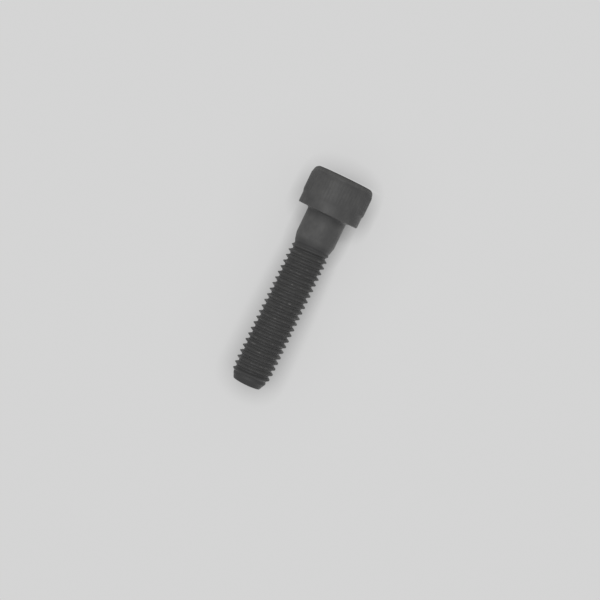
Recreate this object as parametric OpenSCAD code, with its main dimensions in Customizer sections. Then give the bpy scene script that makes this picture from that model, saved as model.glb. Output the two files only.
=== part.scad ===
// Socket head cap screw, metric M10 x 1.5 x 45, standing on its head.
// Origin: centre of the top of the head, on the floor. The screw's axis is +z, with the point upwards.
// The modules measure from the bearing face under the head: the point is at +z and the head at -z.

/* [Head] */
// Diameter of the plain part of the head
head_d = 15.4; // [14.5:0.1:15.6]
// Height of the head above the bearing face
head_h = 9.75; // [9:0.05:11]
// Radius of the rounded edge at the top of the head
head_edge_r = 1.3; // [0.4:0.1:1.5]
// Radius of the rounded edge round the bearing face
bearing_edge_r = 0.3; // [0.1:0.05:0.5]

/* [Knurl] */
// Diameter over the knurl ridges
knurl_d = 15.85; // [15.7:0.05:16.4]
// Number of ridges round the head
knurl_count = 64; // [48:1:80]
// Distance from the top of the head to the first rise of the ridges
knurl_top_margin = 1; // [0.5:0.1:2]
// Distance from the bearing face to the first rise of the ridges
knurl_bottom_margin = 2.35; // [1:0.05:3]
// Length over which the ridges rise to full height at each end
knurl_rise = 1; // [0.5:0.1:1.5]

/* [Hex socket] */
// Width across the flats of the socket
socket_af = 8; // [6:0.1:9]
// Depth of the flat sides of the socket
socket_depth = 5.2; // [4:0.1:6]
// Width of the chamfer at the mouth, beyond the corners of the hexagon
socket_chamfer = 0.25; // [0.1:0.05:0.5]
// Included angle of the cone at the bottom of the socket
socket_cone_angle = 120; // [100:5:150]

/* [Shank] */
// Length from the bearing face to the end of the point
screw_length = 45; // [38:1:60]
// Diameter of the plain shank
shank_d = 9.95; // [9.6:0.05:10.2]
// Length from the bearing face to the end of the plain shank
shank_length = 6.75; // [3:0.05:10]
// Radius of the fillet between the shank and the bearing face
fillet_r = 0.6; // [0.4:0.1:0.8]
// Length of the cone from the plain shank down to the rolled blank
reduction_length = 1.9; // [1.5:0.1:4]

/* [Thread] */
// Thread pitch
thread_pitch = 1.5; // [1.25:0.05:1.75]
// Diameter over the thread crests
thread_d = 9.8; // [9.6:0.05:10]
// Height of the thread from root to crest
thread_depth = 0.8; // [0.5:0.05:0.9]
// Diameter of the blank on which the thread is rolled
blank_d = 9; // [8.8:0.05:9.2]
// Length over which the crests rise to full height at the shank
thread_fade = 2.2; // [1.5:0.1:4]
// Length over which the roots reach full depth at the shank
root_fade = 1.2; // [0.8:0.1:2]
// Angle by which the thread is turned about the axis
thread_turn = 194; // [0:1:359]

/* [Point] */
// Diameter of the flat end of the point
point_d = 6.95; // [6:0.05:7.6]
// Angle between the chamfer of the point and the axis
point_angle = 25; // [20:1:40]
// Length of plain chamfer before the crests begin to rise
point_plain = 1; // [0.5:0.1:1.5]
// Length from the end of the point to the first crest of full height
point_fade = 4.5; // [3:0.1:6]

/* [Hidden] */
$fn = 96;

// Flat sides of the thread in one turn
thread_sides = 36;

// Overlap of joined bodies and reach of cuts beyond a face
lap = 0.1;

// Radii
head_r = head_d / 2;
knurl_r = knurl_d / 2;
shank_r = shank_d / 2;
blank_r = blank_d / 2;
crest_r = thread_d / 2;
root_r = crest_r - thread_depth;
point_r = point_d / 2;

// Places along the axis, from the bearing face
reduction_end = shank_length + reduction_length;
blank_top = shank_length + reduction_length / 2;

// Ridges with flanks at 45 degrees, their feet just below the plain surface of the head
ridge_foot_r = head_r - lap / 2;
ridge_tip_r = ridge_foot_r + knurl_r * sin(180 / knurl_count);

// Socket corners, mouth and bottom cone, which stays just inside the flats
socket_r = socket_af / 2 / cos(30);
mouth_r = socket_r + socket_chamfer;
socket_cone_r = 0.48 * socket_af;
socket_cone_h = socket_cone_r / tan(socket_cone_angle / 2);

// Thread profile over one pitch as [place along the pitch, 1 on the crest and 0 in the root]
crest_flat = thread_pitch / 8;
flank = thread_depth * tan(30);
thread_form = [
    [-crest_flat / 2, 1],
    [crest_flat / 2, 1],
    [crest_flat / 2 + flank, 0],
    [thread_pitch - crest_flat / 2 - flank, 0]
];
lines = len(thread_form);
thread_base = thread_pitch * (floor(blank_top / thread_pitch) - 2 + thread_turn / 360);
rows = lines * ceil((screw_length - thread_base) / thread_pitch + 1);

// A value held between 0 and 1
function part_of(x) = max(0, min(1, x));

// Radius of the unrolled blank, with the chamfer of the point
function blank_at(z) = min(blank_r, point_r + (screw_length - z) * tan(point_angle));

// Radius of the crests: the metal raised above the blank grows from both ends
function crest_at(z) =
    blank_at(z) + (crest_r - blank_r) * min(
        part_of((z - reduction_end) / thread_fade),
        part_of((screw_length - z - point_plain) / (point_fade - point_plain)));

// Radius of the roots: their depth grows from the shank, and ends on the chamfer
function root_at(z) =
    min(blank_at(z), blank_r - (blank_r - root_r) * part_of((z - reduction_end) / root_fade));

// Place along the axis of line q of the thread in column j, before the ends are cut
function line_z(j, q) =
    thread_base + thread_pitch * (floor(q / lines) + j / thread_sides) + thread_form[q % lines][0];

// Number of a thread point: a ring for each cut end first, then the columns
function point_no(j, q) =
    line_z(j, q) <= blank_top ? j :
    line_z(j, q) >= screw_length ? thread_sides + j :
    2 * thread_sides + j * rows + q;

// The column after j, where the last column meets the first one turn further on
function next_no(j, q) =
    j < thread_sides - 1 ? point_no(j + 1, q) : point_no(0, min(q + lines, rows - 1));

function on_ring(r, j, z) =
    let (a = 360 * j / thread_sides)
    [r * cos(a), r * sin(a), z];

function thread_point(j, q) =
    let (z = line_z(j, q))
    on_ring(thread_form[q % lines][1] == 1 ? crest_at(z) : root_at(z), j, z);

// Right hand thread rolled on the blank, closed at both ends
module threaded_blank() {
    columns = [0 : thread_sides - 1];
    points = [
        for (j = columns) on_ring(blank_r, j, blank_top),
        for (j = columns) on_ring(point_r, j, screw_length),
        for (j = columns, q = [0 : rows - 1]) thread_point(j, q)
    ];
    skin = [
        for (j = columns, q = [0 : rows - 2])
            let (a = point_no(j, q), b = point_no(j, q + 1), c = next_no(j, q + 1), d = next_no(j, q))
            for (face = [[a, b, d], [b, c, d]])
                if (face[0] != face[1] && face[1] != face[2] && face[2] != face[0]) face
    ];
    shank_end = [for (j = columns) j];
    point_end = [for (j = columns) 2 * thread_sides - 1 - j];
    polyhedron(points, concat(skin, [shank_end, point_end]));
}

// Half section of the plain head with its two rounded edges
module head_section() {
    translate([0, -head_h])
        square([head_r - head_edge_r, head_h - lap]);
    translate([0, head_edge_r - head_h])
        square([head_r, head_h - head_edge_r - bearing_edge_r]);
    translate([head_r - head_edge_r, head_edge_r - head_h])
        circle(head_edge_r);
    translate([0, -2 * lap])
        square([head_r - bearing_edge_r, 2 * lap]);
    translate([head_r - bearing_edge_r, -bearing_edge_r])
        circle(bearing_edge_r);
}

// Half section of the fillet, the shank and the cone down to the blank, with a steep end inside the blank
module shank_section() {
    difference() {
        translate([0, -lap])
            square([shank_r + fillet_r, fillet_r + lap]);
        translate([shank_r + fillet_r, fillet_r])
            circle(fillet_r);
    }
    polygon([
        [0, -lap],
        [shank_r, -lap],
        [shank_r, shank_length],
        [blank_r, reduction_end],
        [blank_r - 2 * lap, reduction_end + lap],
        [0, reduction_end + lap]
    ]);
}

// Ridges of the knurl, rising from the plain head at both ends
module knurl() {
    ridge_top = knurl_top_margin - head_h;
    ridge_bottom = -knurl_bottom_margin;
    inner_r = ridge_foot_r - knurl_rise;
    intersection() {
        rotate_extrude()
            polygon([
                [inner_r, ridge_top],
                [ridge_foot_r, ridge_top],
                [knurl_r, ridge_top + knurl_rise],
                [knurl_r, ridge_bottom - knurl_rise],
                [ridge_foot_r, ridge_bottom],
                [inner_r, ridge_bottom]
            ]);
        translate([0, 0, -head_h])
            linear_extrude(head_h)
                polygon([
                    for (i = [0 : 2 * knurl_count - 1])
                        let (r = i % 2 == 0 ? ridge_foot_r : ridge_tip_r, a = 180 * i / knurl_count)
                        [r * cos(a), r * sin(a)]
                ]);
    }
}

// Hexagon with a chamfered mouth and a cone at the bottom
module socket() {
    translate([0, 0, -head_h - lap])
        cylinder(h = socket_depth + lap, r = socket_r, $fn = 6);
    translate([0, 0, -head_h + socket_depth - lap])
        cylinder(h = socket_cone_h, r1 = socket_cone_r, r2 = 0);
    translate([0, 0, -head_h - lap])
        cylinder(h = mouth_r + lap, r1 = mouth_r + lap, r2 = 0);
}

// The whole screw, lifted so that the top of its head is on the floor
module cap_screw() {
    color([0.12, 0.12, 0.13])
        translate([0, 0, head_h]) {
            difference() {
                union() {
                    rotate_extrude() {
                        head_section();
                        shank_section();
                    }
                    knurl();
                }
                socket();
            }
            threaded_blank();
        }
}

cap_screw();
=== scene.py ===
import math

import bpy
from mathutils import Matrix, Vector


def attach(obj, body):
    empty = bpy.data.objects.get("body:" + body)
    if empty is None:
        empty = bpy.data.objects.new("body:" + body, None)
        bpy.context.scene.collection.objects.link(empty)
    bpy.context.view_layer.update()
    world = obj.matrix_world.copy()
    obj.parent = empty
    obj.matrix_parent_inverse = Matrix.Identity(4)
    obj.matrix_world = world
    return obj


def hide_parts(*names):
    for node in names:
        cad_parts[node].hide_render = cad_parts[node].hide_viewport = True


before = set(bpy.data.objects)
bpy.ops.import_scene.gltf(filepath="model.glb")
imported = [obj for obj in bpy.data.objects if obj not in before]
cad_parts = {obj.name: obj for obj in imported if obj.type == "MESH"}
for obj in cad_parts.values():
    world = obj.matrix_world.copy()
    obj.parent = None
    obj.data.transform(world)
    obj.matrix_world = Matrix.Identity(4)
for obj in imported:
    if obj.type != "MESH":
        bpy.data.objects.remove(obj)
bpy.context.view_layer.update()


# The screw is one piece of alloy steel. Its head, hexagon socket and shank are forged cold, and the knurl
# and the thread are rolled on, so their crests stand above the blank. It is hardened, then blackened in a
# hot oxide bath, which leaves a matt skin of dark grey that wears first along the crests and edges.

class Wire:
    """One output in a node tree. Arithmetic on it adds Math nodes to that tree."""

    def __init__(self, tree, socket=None):
        self.tree = tree
        self.socket = socket

    def add(self, kind, settings, sockets, output=0):
        node = self.tree.nodes.new(kind)
        for name, value in settings.items():
            setattr(node, name, value)
        for key, value in sockets.items():
            if isinstance(value, Wire):
                self.tree.links.new(value.socket, node.inputs[key])
            else:
                node.inputs[key].default_value = value
        return Wire(self.tree, node.outputs[output] if len(node.outputs) else None)

    def math(self, operation, *values):
        return self.add("ShaderNodeMath", {"operation": operation}, dict(enumerate(values)))

    def mixed(self, first, second):
        """A colour between two others, taken by this share."""
        return self.add("ShaderNodeMix", {"data_type": "RGBA"}, {0: self, 6: first, 7: second}, 2)

    def held(self):
        return self.add("ShaderNodeClamp", {}, {"Value": self})

    def least(self, other):
        return self.math("MINIMUM", self, other)

    def most(self, other):
        return self.math("MAXIMUM", self, other)

    def __add__(self, other):
        return self.math("ADD", self, other)

    def __sub__(self, other):
        return self.math("SUBTRACT", self, other)

    def __rsub__(self, other):
        return self.math("SUBTRACT", other, self)

    def __mul__(self, other):
        return self.math("MULTIPLY", self, other)

    def __truediv__(self, other):
        return self.math("DIVIDE", self, other)

    def __rtruediv__(self, other):
        return self.math("DIVIDE", other, self)

    def __pow__(self, other):
        return self.math("POWER", self, other)

    __radd__ = __add__
    __rmul__ = __mul__


# Sizes in millimetres, measured along the axis from the bearing face: the point is at +z and the head at -z
mm = 0.001
head_r = 7.7
head_h = 9.75
head_edge_r = 1.3
bearing_edge_r = 0.3
top_ring_r = 5.6
ridge_h = 0.22
ridge_count = 64
ridge_top = -8.75
ridge_bottom = -2.35
ridge_rise = 1.0
ridge_sink = 0.05
valley_share = 0.5
crest_pinch = 0.34
socket_af = 8.0
socket_depth = 5.2
mouth_r = 4.869
cone_r = 3.667
cone_tip = -2.433
socket_floor = socket_depth - head_h
shank_r = 4.975
shank_end = 6.75
fillet_r = 0.6
pitch = 1.5
crest_r = 4.9
thread_depth = 0.8
blank_r = 4.5
thread_turn = 194.0
flank_angle = 30
crest_round = 0.14
root_round = 0.2
neck_round = 0.09
neck_end = 7.9
reduction_end = 8.65
neck_slope = (shank_r - blank_r) / (reduction_end - shank_end)
thread_fade = 2.2
root_start = 8.3
root_fade = 1.5
screw_length = 45.0
point_r = 3.475
point_slope = math.tan(math.radians(25))
point_plain = 1.0
point_fade = 4.5
columns = 192
crisp_angle = 40

# Shares of worn skin on the edges, and of dark oil held on the sides of the head, from 0 to 1
mouth_wear = 0.6
top_wear = 0.15
bearing_wear = 0.4
point_wear = 0.8
knurl_top_oil = 0.35
knurl_oil = 0.4
bearing_oil = 0.3


def softer(a, b, blend):
    """The lesser of two numbers, with the corner between them rounded off."""
    near = max(blend - abs(a - b), 0) / blend
    return min(a, b) - near * near * blend / 4


# Rows of the skin from the bottom of the socket, out over the head, down the shank and thread, to the point
rows = []


def row(r, z, ridge=0.0, hexagon=0.0, bevel=0.0, wind=0.0, form=0.0, edge=0.0, corner=0.0):
    rows.append(dict(r=r, z=z, ridge=ridge, hexagon=hexagon, bevel=bevel, wind=wind, form=form, edge=edge,
                     corner=corner))


row(0, cone_tip)
row(cone_r / 2, (cone_tip + socket_floor) / 2)
row(cone_r, socket_floor)
row(0, socket_floor, hexagon=1)
row(0, socket_depth / 2 - head_h, hexagon=1)
row(0, -head_h, hexagon=1, bevel=1)
row(mouth_r, -head_h, edge=mouth_wear)
row(top_ring_r, -head_h, edge=top_wear)

head_edge_steps = 8
for step in range(head_edge_steps + 1):
    turn = math.radians(90 * step / head_edge_steps)
    row(head_r - head_edge_r * (1 - math.sin(turn)), head_edge_r * (1 - math.cos(turn)) - head_h,
        edge=math.sin(2 * turn), corner=knurl_top_oil * step / head_edge_steps)

rise_steps = 5
full_steps = 4
full_top = ridge_top + ridge_rise
full_bottom = ridge_bottom - ridge_rise


def rise(step):
    """Height of the ridges at a step of their slope, which starts just below the plain head."""
    return max(0, (ridge_h + ridge_sink) * step / rise_steps - ridge_sink)


for step in range(1, rise_steps + 1):
    row(head_r, ridge_top + ridge_rise * step / rise_steps, ridge=rise(step), corner=knurl_top_oil)
for step in range(1, full_steps):
    row(head_r, full_top + (full_bottom - full_top) * step / full_steps, ridge=ridge_h, corner=knurl_oil)
for step in range(rise_steps, -1, -1):
    row(head_r, ridge_bottom - ridge_rise * step / rise_steps, ridge=rise(step), corner=knurl_oil)

bearing_edge_steps = 5
for step in range(bearing_edge_steps + 1):
    turn = math.radians(90 * step / bearing_edge_steps)
    row(head_r - bearing_edge_r * (1 - math.cos(turn)), bearing_edge_r * (math.sin(turn) - 1),
        edge=bearing_wear * math.sin(2 * turn), corner=bearing_oil)

# The fillet under the head gets the full dark share, as painted shade under the head
fillet_steps = 7
for step in range(fillet_steps + 1):
    turn = math.radians(90 * step / fillet_steps)
    row(shank_r + fillet_r * (1 - math.sin(turn)), fillet_r * (1 - math.cos(turn)), corner=1)

neck_rows = (2.1, 3.6, 5.1, 5.9, 6.3, 6.55, 6.75, 6.95, 7.2, 7.5, neck_end)
for z in neck_rows:
    row(softer(shank_r, shank_r - neck_slope * (z - shank_end), neck_round), z, corner=max(0, z - shank_end))

flank = thread_depth * math.tan(math.radians(flank_angle))
half_crest = pitch / 16
first_turn = pitch * (math.floor(neck_end / pitch) - 2 + thread_turn / 360)
turns = math.ceil((screw_length - first_turn) / pitch) + 1
places = (0.06, 0.115, 0.17, 0.34, 0.5, 0.58, 0.66)
across = [-place for place in reversed(places)] + [0] + list(places) + [pitch / 2]
for turn in range(turns):
    for place in across:
        slant = (half_crest + flank - abs(place)) / flank
        round_crest = softer(slant, 1, crest_round)
        row(0, first_turn + pitch * turn + place, wind=1, form=-softer(-round_crest, 0, root_round))

row(point_r, screw_length, edge=point_wear)
row(point_r * 0.6, screw_length)
row(0, screw_length)

skin = bpy.data.meshes.new("screw_rows")
skin.from_pydata([(each["r"] * mm, 0, each["z"] * mm) for each in rows],
                 [(at, at + 1) for at in range(len(rows) - 1)], [])
for name in ("ridge", "hexagon", "bevel", "wind", "form", "edge", "corner"):
    skin.attributes.new(name, "FLOAT", "POINT").data.foreach_set("value", [each[name] for each in rows])
screw = bpy.data.objects.new("black_screw", skin)
bpy.context.scene.collection.objects.link(screw)

# Finish: an uneven matt skin, with oil on the sides of the head, painted shade in the roots, under the head,
# on the point and over the crests, painted light on the flanks and in the knurl valleys, and pale where it is
# worn through
dull_black = (0.042, 0.042, 0.0425, 1)
pale_black = (0.078, 0.0775, 0.076, 1)
shade_and_oil_black = (0.026, 0.026, 0.0265, 1)
wear_and_painted_light_grey = (0.13, 0.128, 0.124, 1)
black_steel = bpy.data.materials.new("black_oxide_steel")
black_steel.use_nodes = True
black_steel.node_tree.nodes.clear()
paint = Wire(black_steel.node_tree)
spot = paint.add("ShaderNodeTexCoord", {}, {}, "Object")


def stored(name):
    return paint.add("ShaderNodeAttribute", {"attribute_name": name}, {}, "Fac")


def noise(place, scale, detail, rough=0.5):
    return paint.add("ShaderNodeTexNoise", {}, {"Vector": place, "Scale": scale, "Detail": detail,
                                                "Roughness": rough})


def spread(value, low, high):
    return ((value - low) / (high - low)).held()


proud = stored("proud")
painted_shade_and_oil = stored("painted_shade_and_oil")
edge = stored("edge")
knurl = stored("knurl")
flank_light = stored("flank")
drawn = paint.add("ShaderNodeMapping", {}, {"Vector": spot, "Scale": (1, 1, 0.12)})
stain = spread(noise(spot, scale=170, detail=3), low=0.35, high=0.68)
mottle = spread(noise(spot, scale=900, detail=4, rough=0.6), low=0.32, high=0.7)
grain = noise(spot, scale=5200, detail=3, rough=0.65)
streak = spread(noise(drawn, scale=2600, detail=2), low=0.35, high=0.7)
broken = spread(noise(spot, scale=620, detail=4, rough=0.65), low=0.55, high=0.7)
blotch = spread(noise(spot, scale=330, detail=3, rough=0.6), low=0.45, high=0.68)

tone = (stain * 0.3 + blotch * 0.35 + mottle * 0.25 + grain * 0.15 + streak * 0.1).held()
# Painted shade in the roots, under the head, on the point and over the tops of the crests, where it dims the
# light on the thread; oil on the sides of the head
shade_and_oil = (painted_shade_and_oil * 0.6 + (proud ** 4) * 0.85).held()
crest_wear = (proud ** 8) * broken * 0.85
# Painted light: the middle of each flank is made lighter, to even out the shading of the thread
flank_painted_light = flank_light * 0.25
# Painted light: the valleys of the knurl are made a little lighter, to soften the shading between the ridges
knurl_valley_painted_light = knurl * (broken * 0.1 + 0.03)
edge_wear = edge * (broken * 0.5 + 0.27)
# The worn grey carries real wear on the crests and edges and the painted light on the flanks and in the knurl
# valleys
wear_and_painted_light = (crest_wear + flank_painted_light + knurl_valley_painted_light + edge_wear).held()
colour = wear_and_painted_light.mixed(shade_and_oil.mixed(tone.mixed(dull_black, pale_black), shade_and_oil_black), wear_and_painted_light_grey)
rough = 0.6 - stain * 0.08 - wear_and_painted_light * 0.14 + grain * 0.06
bumps = paint.add("ShaderNodeBump", {}, {
    "Strength": 0.35, "Distance": 0.03 * mm, "Height": grain * 0.6 + mottle * 0.6 + streak * 0.5})
finish = paint.add("ShaderNodeBsdfPrincipled", {}, {
    "Base Color": colour, "Roughness": rough, "Normal": bumps})
paint.add("ShaderNodeOutputMaterial", {}, {"Surface": finish})

lathe = bpy.data.node_groups.new("forged_and_rolled_screw", "GeometryNodeTree")
lathe.interface.new_socket(name="Rows", in_out="INPUT", socket_type="NodeSocketGeometry")
inputs = {}
for name, kind, value in (
        ("Columns", "Int", columns),
        ("Ridge count", "Int", ridge_count),
        ("Ridge height", "Float", ridge_h * mm),
        ("Valley share", "Float", valley_share),
        ("Head height", "Float", head_h * mm),
        ("Socket across flats", "Float", socket_af * mm),
        ("Socket mouth radius", "Float", mouth_r * mm),
        ("Pitch", "Float", pitch * mm),
        ("Crest radius", "Float", crest_r * mm),
        ("Thread depth", "Float", thread_depth * mm),
        ("Blank radius", "Float", blank_r * mm),
        ("Neck end", "Float", neck_end * mm),
        ("Neck slope", "Float", neck_slope),
        ("Reduction end", "Float", reduction_end * mm),
        ("Root start", "Float", root_start * mm),
        ("Root fade", "Float", root_fade * mm),
        ("Thread fade", "Float", thread_fade * mm),
        ("Length", "Float", screw_length * mm),
        ("Point radius", "Float", point_r * mm),
        ("Point slope", "Float", point_slope),
        ("Point plain", "Float", point_plain * mm),
        ("Point fade", "Float", point_fade * mm)):
    socket = lathe.interface.new_socket(name=name, in_out="INPUT", socket_type="NodeSocket" + kind)
    inputs[name] = (socket, value)
lathe.interface.new_socket(name="Screw", in_out="OUTPUT", socket_type="NodeSocketGeometry")

make = Wire(lathe)
given = lathe.nodes.new("NodeGroupInput")
size = {name: Wire(lathe, given.outputs[name]) for name in inputs}
profile = Wire(lathe, given.outputs["Rows"])

row_count = make.add("GeometryNodeAttributeDomainSize", {"component": "MESH"}, {"Geometry": profile},
                     "Point Count")
sheet = make.add("GeometryNodeMeshGrid", {}, {"Vertices X": size["Columns"] + 1, "Vertices Y": row_count},
                 "Mesh")
number = make.add("GeometryNodeInputIndex", {}, {})
column = ((number + 0.5) / row_count).math("FLOOR", (number + 0.5) / row_count)
row_number = number - column * row_count


def of_row(value, kind):
    return make.add("GeometryNodeSampleIndex", {"data_type": kind, "domain": "POINT"}, {
        "Geometry": profile, "Value": value, "Index": row_number + 0.25})


def row_value(name):
    named = make.add("GeometryNodeInputNamedAttribute", {"data_type": "FLOAT"}, {"Name": name}, "Attribute")
    return of_row(named, "FLOAT")


row_place = of_row(make.add("GeometryNodeInputPosition", {}, {}), "FLOAT_VECTOR")
row_r = make.add("ShaderNodeSeparateXYZ", {}, {"Vector": row_place}, "X")
row_z = make.add("ShaderNodeSeparateXYZ", {}, {"Vector": row_place}, "Z")
ridge = row_value("ridge")
hexagon = row_value("hexagon")
bevel = row_value("bevel")
wind = row_value("wind")
form = row_value("form")
rim = row_value("edge")
corner = row_value("corner")

# Knurl: three columns to a ridge, one in the valley and two on the crest, drawn together as it rises
per_ridge = size["Columns"] / size["Ridge count"]
in_ridge = column.math("FLOORED_MODULO", column, per_ridge)
on_crest = in_ridge.least(1)
standing = ridge * mm / size["Ridge height"]
narrowing = (1.5 - in_ridge) * on_crest * standing.held() * crest_pinch
angle = (column + narrowing) * (2 * math.pi) / size["Columns"]

# Socket: flats at half the width from the axis, with corners at every sixth of a turn from the X axis
flat_angle = angle.math("FLOORED_MODULO", angle, math.pi / 3) - math.pi / 6
hexagon_r = size["Socket across flats"] * 0.5 / flat_angle.math("COSINE", flat_angle)
lifted = size["Valley share"] + (1 - size["Valley share"]) * on_crest
turned_r = row_r + hexagon * (hexagon_r - row_r) + ridge * mm * lifted
turned_z = row_z + bevel * (size["Socket mouth radius"] - turned_r)

# Thread: each line climbs one pitch a turn and is cut off at the neck and at the end of the point
thread_z = (row_z + size["Pitch"] * column / size["Columns"]).most(size["Neck end"]).least(size["Length"])
from_neck = thread_z - size["Reduction end"]
from_point = size["Length"] - thread_z
neck = size["Blank radius"].most(size["Blank radius"] - from_neck * size["Neck slope"])
blank = neck.least(size["Point radius"] + from_point * size["Point slope"])
grown = (from_neck / size["Thread fade"]).held().least(
    ((from_point - size["Point plain"]) / (size["Point fade"] - size["Point plain"])).held())
cut = ((thread_z - size["Root start"]) / size["Root fade"]).held()
crest = blank + (size["Crest radius"] - size["Blank radius"]) * grown
root_depth = size["Blank radius"] - size["Crest radius"] + size["Thread depth"]
root = blank.least(neck - root_depth * cut)
thread_r = root + (crest - root) * form

skin_r = turned_r + wind * (thread_r - turned_r)
skin_z = turned_z + wind * (thread_z - turned_z) + size["Head height"]
place = make.add("ShaderNodeCombineXYZ", {}, {
    "X": skin_r * angle.math("COSINE", angle), "Y": skin_r * angle.math("SINE", angle), "Z": skin_z})
body = make.add("GeometryNodeSetPosition", {}, {"Geometry": sheet, "Position": place})

# Darker where the thread runs out, most of all on the point, where it is painted shade, and painted shade in
# the roots of the thread
near_point = from_point.math("LESS_THAN", from_point, size["Point fade"])
point_shade_and_run_out_dark = wind * (1 - grown) * (near_point * 0.5 + cut * 0.6 + 1.15)
root_painted_shade = wind * ((1 - form) ** 2) * (cut * 3).held() * 1.2
for name, value in (
        ("proud", wind * form * grown),
        ("knurl", standing * (1 - on_crest * 0.8)),
        ("painted_shade_and_oil", corner + point_shade_and_run_out_dark + root_painted_shade),
        ("flank", wind * form * (1 - form) * 4 * grown),
        ("edge", rim)):
    body = make.add("GeometryNodeStoreNamedAttribute", {"data_type": "FLOAT", "domain": "POINT"}, {
        "Geometry": body, "Name": name, "Value": value})
body = make.add("GeometryNodeMergeByDistance", {}, {"Geometry": body, "Distance": 0.001 * mm})
body = make.add("GeometryNodeSetShadeSmooth", {"domain": "FACE"}, {0: body, "Shade Smooth": True})
bend = make.add("GeometryNodeInputMeshEdgeAngle", {}, {}, "Unsigned Angle")
gentle = bend.math("LESS_THAN", bend, math.radians(crisp_angle))
body = make.add("GeometryNodeSetShadeSmooth", {"domain": "EDGE"}, {0: body, "Shade Smooth": gentle})
body = make.add("GeometryNodeRealizeInstances", {}, {"Geometry": body})
body = make.add("GeometryNodeSetMaterial", {}, {"Geometry": body, "Material": black_steel})
make.add("NodeGroupOutput", {}, {"Screw": body})

turning = screw.modifiers.new("turning", "NODES")
turning.node_group = lathe
for socket, value in inputs.values():
    turning[socket.identifier] = value
evaluated = screw.evaluated_get(bpy.context.evaluated_depsgraph_get())
finished = bpy.data.meshes.new_from_object(evaluated)
screw.modifiers.remove(turning)
screw.data = finished
finished.name = "black_screw"
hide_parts("cap_screw")
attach(screw, "root")


# The floor is a wide sheet of matt pale card, laid flat just under the screw. To the camera it is open from
# below, and in front of the screw apart from a ring round its head, where the sheet behind shows instead.
# In that ring it glows pale to the camera, with a painted shadow of the screw, darkest close to it.
reach = 6.0
floor_z = -0.00002
pale = (0.663, 0.663, 0.6625, 1)
painted_shadow_black = (0, 0, 0, 1)
card_dull = (0.848, 0.848, 0.843, 1)
card_bright = (0.868, 0.868, 0.863, 1)
shadow_samples = 16
ring_shadow_reach = 0.0066
ring_shadow_share = 0.25
front_end = 0.0115
front_fade = 0.003
ring_r = 0.0088
ring_fade = 0.004
floor_mesh = bpy.data.meshes.new("pale_floor")
floor_mesh.from_pydata([(-reach, -reach, floor_z), (reach, -reach, floor_z), (reach, reach, floor_z),
                        (-reach, reach, floor_z)], [], [(0, 1, 2, 3)])
floor = bpy.data.objects.new("pale_floor", floor_mesh)
bpy.context.scene.collection.objects.link(floor)

card = bpy.data.materials.new("pale_card")
card.use_nodes = True
card.node_tree.nodes.clear()
card_paint = Wire(card.node_tree)
card_spot = card_paint.add("ShaderNodeTexCoord", {}, {}, "Object")
fibre = card_paint.add("ShaderNodeTexNoise", {}, {"Vector": card_spot, "Scale": 900.0, "Detail": 3.0})
card_face = card_paint.add("ShaderNodeBsdfDiffuse", {}, {"Color": fibre.mixed(card_dull, card_bright)})
near_air = card_paint.add("ShaderNodeAmbientOcclusion", {"samples": shadow_samples},
                          {"Distance": ring_shadow_reach}, "AO")
painted_ring_shadow = ((1 - near_air) * ring_shadow_share).held().mixed(pale, painted_shadow_black)
ring_glow_with_painted_shadow = card_paint.add("ShaderNodeEmission", {}, {"Color": painted_ring_shadow, "Strength": 1.0})
to_camera = card_paint.add("ShaderNodeLightPath", {}, {}, "Is Camera Ray")
from_below = card_paint.add("ShaderNodeNewGeometry", {}, {}, "Backfacing")
away = card_paint.add("ShaderNodeSeparateXYZ", {}, {"Vector": card_spot}, "Y")
from_axis = card_paint.add("ShaderNodeVectorMath", {"operation": "LENGTH"}, {0: card_spot}, "Value")
in_front = ((front_end - away) / front_fade).held() * to_camera
past_ring = ((from_axis - ring_r) / ring_fade).held()
opened = (in_front * past_ring).most(from_below * to_camera)
card_look = card_paint.add("ShaderNodeMixShader", {}, {0: in_front, 1: card_face, 2: ring_glow_with_painted_shadow})
gap = card_paint.add("ShaderNodeBsdfTransparent", {}, {})
card_surface = card_paint.add("ShaderNodeMixShader", {}, {0: opened, 1: card_look, 2: gap})
card_paint.add("ShaderNodeOutputMaterial", {}, {"Surface": card_surface})
floor_mesh.materials.append(card)
floor.visible_shadow = False
floor.visible_diffuse = False


# The backdrop is a second sheet of the same card, which leans over the screw from behind and touches its head
# and its point. It is seen from the front only and takes no light away. It glows evenly pale, and the soft
# shadow of the screw is painted into that glow: deepest in the crook under the head and on the side away from
# the lamp, with a wide faint one round that.
lean = -0.0683
foot = 0.00833
bottom = -0.3
top = 0.6
close_reach = 0.006
close_share = 0.68
wide_reach = 0.021
wide_share = 0.17
crook_z = 0.013
crook_depth = 1.4
fall_to_head = 48
fall_to_point = 20
least_depth = 0.85
lamp_width = 0.008
lamp_share = 0.26
backdrop_mesh = bpy.data.meshes.new("pale_backdrop")
backdrop_mesh.from_pydata([
    (-reach, foot + lean * bottom, bottom), (reach, foot + lean * bottom, bottom),
    (reach, foot + lean * top, top), (-reach, foot + lean * top, top)], [], [(0, 1, 2, 3)])
backdrop = bpy.data.objects.new("pale_backdrop", backdrop_mesh)
bpy.context.scene.collection.objects.link(backdrop)
for ray_kind in ("diffuse", "glossy", "transmission", "volume_scatter", "shadow"):
    setattr(backdrop, "visible_" + ray_kind, False)

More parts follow.
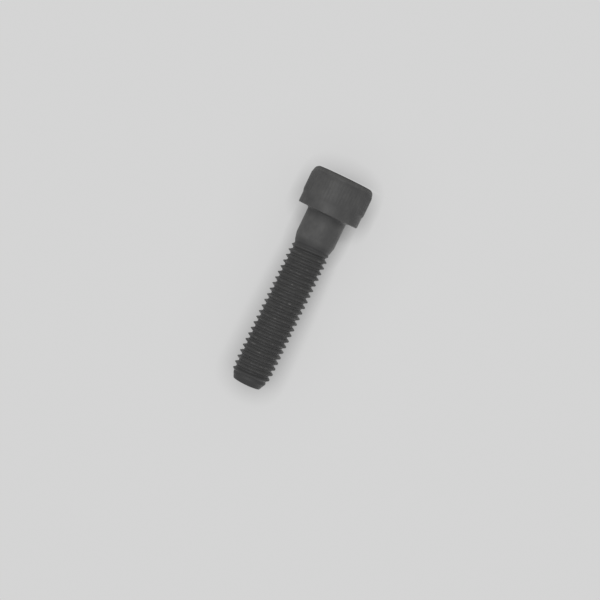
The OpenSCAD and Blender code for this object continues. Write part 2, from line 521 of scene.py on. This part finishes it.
sheet_finish = bpy.data.materials.new("pale_sheet")
sheet_finish.use_nodes = True
sheet_finish.node_tree.nodes.clear()
sheet_paint = Wire(sheet_finish.node_tree)
close_air = sheet_paint.add("ShaderNodeAmbientOcclusion", {"samples": shadow_samples},
                            {"Distance": close_reach}, "AO")
wide_air = sheet_paint.add("ShaderNodeAmbientOcclusion", {"samples": shadow_samples},
                           {"Distance": wide_reach}, "AO")
sheet_spot = sheet_paint.add("ShaderNodeTexCoord", {}, {}, "Object")
sheet_x = sheet_paint.add("ShaderNodeSeparateXYZ", {}, {"Vector": sheet_spot}, "X")
sheet_z = sheet_paint.add("ShaderNodeSeparateXYZ", {}, {"Vector": sheet_spot}, "Z")
past_crook = sheet_z - crook_z
along = (crook_depth - (past_crook * -fall_to_head).most(past_crook * fall_to_point)).most(least_depth)
lamp_side = (sheet_x / lamp_width + 0.5).held() - 0.5
depth = along * (1 - lamp_side * lamp_share)
shade = (1 - close_air) * depth * close_share + (1 - wide_air) * wide_share
front = sheet_paint.add("ShaderNodeEmission", {}, {"Color": shade.held().mixed(pale, painted_shadow_black), "Strength": 1.0})
back = sheet_paint.add("ShaderNodeBsdfTransparent", {}, {})
from_behind = sheet_paint.add("ShaderNodeNewGeometry", {}, {}, "Backfacing")
sheet_surface = sheet_paint.add("ShaderNodeMixShader", {}, {0: from_behind, 1: front, 2: back})
sheet_paint.add("ShaderNodeOutputMaterial", {}, {"Surface": sheet_surface})
backdrop_mesh.materials.append(sheet_finish)


# The light is a pale studio: an even glow from all round, a wide soft lamp beside the camera
# and a weaker one behind the screw, so that no side of it is left in the dark.
white = (1, 1, 1, 1)
glow_strength = 0.66
studio = bpy.data.worlds.new("pale_studio")
bpy.context.scene.world = studio
studio.use_nodes = True
studio.node_tree.nodes.clear()
glow = Wire(studio.node_tree)
ray = studio.node_tree.nodes.new("ShaderNodeLightPath")
seen = Wire(studio.node_tree, ray.outputs["Is Camera Ray"]).most(
    Wire(studio.node_tree, ray.outputs["Is Glossy Ray"])).most(
    Wire(studio.node_tree, ray.outputs["Is Transmission Ray"]))
background = glow.add("ShaderNodeBackground", {}, {"Color": pale, "Strength": 1.0})
dome = glow.add("ShaderNodeBackground", {}, {"Color": white, "Strength": glow_strength})
sky = glow.add("ShaderNodeMixShader", {}, {0: seen, 1: dome, 2: background})
glow.add("ShaderNodeOutputWorld", {}, {"Surface": sky})


def wide_lamp(name, toward, strength, spread_deg):
    lamp = bpy.data.lights.new(name, "SUN")
    lamp.energy = strength
    lamp.angle = math.radians(spread_deg)
    holder = bpy.data.objects.new(name, lamp)
    holder.matrix_world = Vector(toward).to_track_quat("-Z", "Y").to_matrix().to_4x4()
    bpy.context.scene.collection.objects.link(holder)


wide_lamp("lamp_beside_camera", toward=(-0.13, 0.98, 0.0), strength=1.06, spread_deg=45)
wide_lamp("lamp_behind", toward=(0.3, -0.85, -0.42), strength=0.8, spread_deg=80)


# The camera looks at the screw from the side and a little upwards, through a long lens.
# It is rolled over, so that the head is at the top of the frame and the point at the bottom.
lens = bpy.data.cameras.new("camera")
lens.lens = 78.3
lens.sensor_width = 36.0
lens.clip_start = 0.005
camera = bpy.data.objects.new("camera", lens)
camera_place = Vector((-2.923, -313.09, 9.596)) * mm
ahead = Vector((0, 0.9977, 0.0682)).normalized()
up = Vector((0.4347, 0.0614, -0.8985))
right = ahead.cross(up).normalized()
up = right.cross(ahead)
camera.matrix_world = Matrix.Translation(camera_place) @ Matrix((right, up, -ahead)).transposed().to_4x4()
bpy.context.scene.collection.objects.link(camera)
bpy.context.scene.camera = camera

bpy.context.scene.view_settings.view_transform = "Standard"
